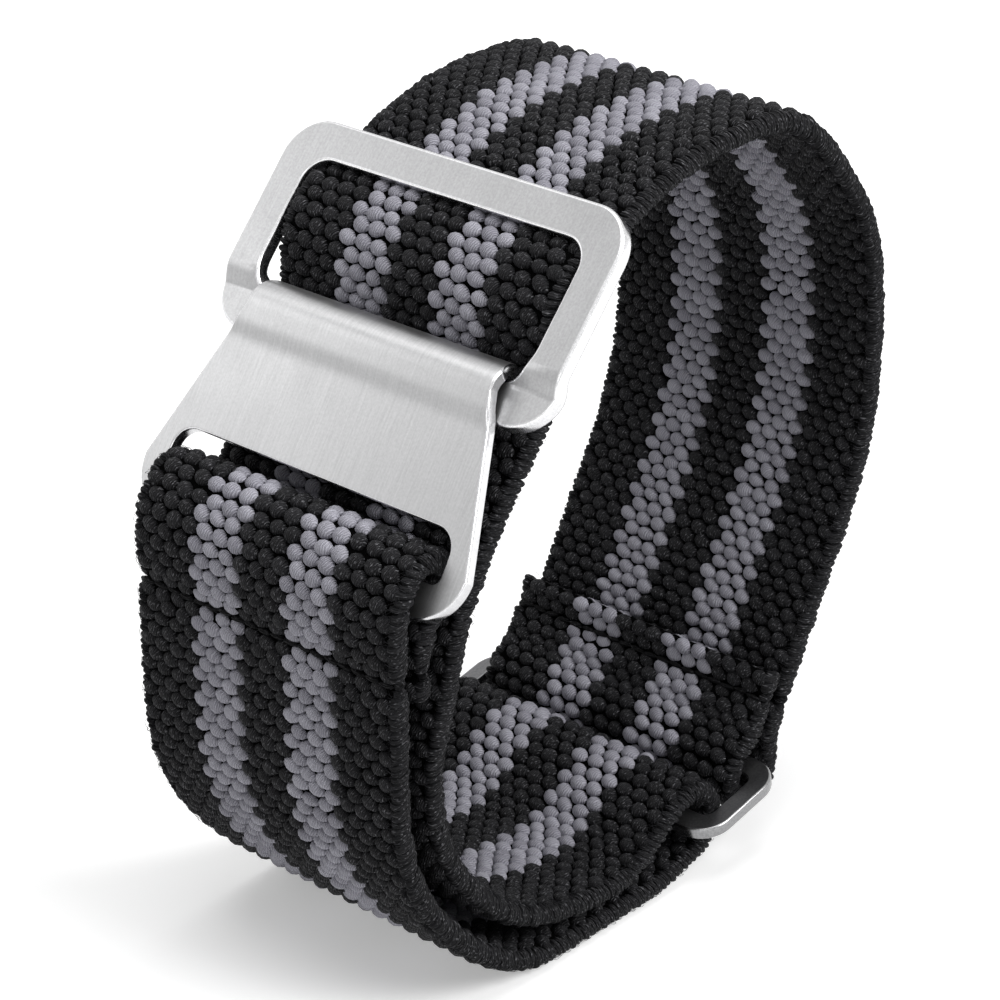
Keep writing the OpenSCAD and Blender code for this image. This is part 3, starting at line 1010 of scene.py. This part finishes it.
def make_floor():
    """A pale floor that fades to the white of the surround away from the strap."""
    work = bmesh.new()
    bmesh.ops.create_grid(work, x_segments=1, y_segments=1, size=1.2)
    bmesh.ops.translate(work, vec=(0, 0, -0.00005), verts=work.verts)
    floor = shown(mesh_from(work, "floor"), "floor")
    material, tree, shader = new_material("pale_floor")
    preset(shader, {"Base Color": (0.86, 0.86, 0.86, 1.0)})
    preset(shader, {"Roughness": 0.9, "Specular IOR Level": 0.1})
    lift = tree.nodes.new("ShaderNodeMapRange")
    lift.inputs["To Min"].default_value = 0.0
    place = tree.nodes.new("ShaderNodeTexCoord")
    distance = tree.nodes.new("ShaderNodeVectorMath")
    distance.operation = "LENGTH"
    tree.links.new(place.outputs["Object"], distance.inputs[0])
    far = tree.nodes.new("ShaderNodeMapRange")
    preset(far, {"From Min": 0.06, "From Max": 0.30, "To Min": 0.35, "To Max": 1.0})
    tree.links.new(distance.outputs["Value"], far.inputs["Value"])
    tree.links.new(far.outputs[0], lift.inputs["To Max"])
    tree.links.new(seen_white(tree, tree.links.new), lift.inputs["Value"])
    shader.inputs["Emission Color"].default_value = (1.0, 1.0, 1.0, 1.0)
    tree.links.new(lift.outputs[0], shader.inputs["Emission Strength"])
    floor.data.materials.append(material)


def make_lamps():
    """Three soft lamps, and three small ones that the ring and the plate mirror."""
    area_light("top_lamp", (-0.04, 0.02, 0.42), (0, 0, 0.03), 0.30, 0.95)
    area_light("front_lamp", (-0.34, -0.26, 0.22), (-0.01, 0, 0.025), 0.22, 0.16)
    area_light("side_lamp", (0.1, -0.36, 0.33), (0, 0, 0.02), 0.25, 2.0)
    area_light("ring_lamp", (-0.050, 0.084, 0.083), (-0.012, 0.0115, 0.04), 0.05, 0.0095)
    area_light("plate_lamp", (-0.070, 0.083, 0.077), (-0.014, 0.008, 0.036), 0.05, 0.0045)
    area_light("ridge_lamp", (-0.018, 0.096, 0.166), (-0.012, 0.0, 0.038), 0.06, 0.012)


def make_camera():
    """The camera at the photograph's angle."""
    azimuth, height = math.radians(CAMERA_AZIMUTH), math.radians(CAMERA_HEIGHT)
    level = math.cos(height)
    back = Vector((math.sin(azimuth) * level, -math.cos(azimuth) * level, math.sin(height)))
    eye = bpy.data.cameras.new("camera")
    eye.lens = SENSOR_WIDTH * CAMERA_ZOOM
    eye.clip_start = 0.01
    camera = bpy.data.objects.new("camera", eye)
    camera.location = Vector(CAMERA_AIM) + back * CAMERA_DISTANCE
    camera.rotation_euler = (-back).to_track_quat("-Z", "Y").to_euler()
    bpy.context.scene.collection.objects.link(camera)
    bpy.context.scene.camera = camera
    bpy.context.scene.view_settings.view_transform = "Standard"


knot = knot_shape()
selvedge_turn = selvedge_shape()
stray_fibre = stray_fibre_shape()
make_surround()
make_floor()
make_lamps()
make_camera()
make_ring()
make_hook_plate()
make_slider()
make_band()
make_seam("slider_seam", SLIDER_SEAM_AT, "strap")
make_seam("hook_seam", HOOK_SEAM_AT, "hook_end")
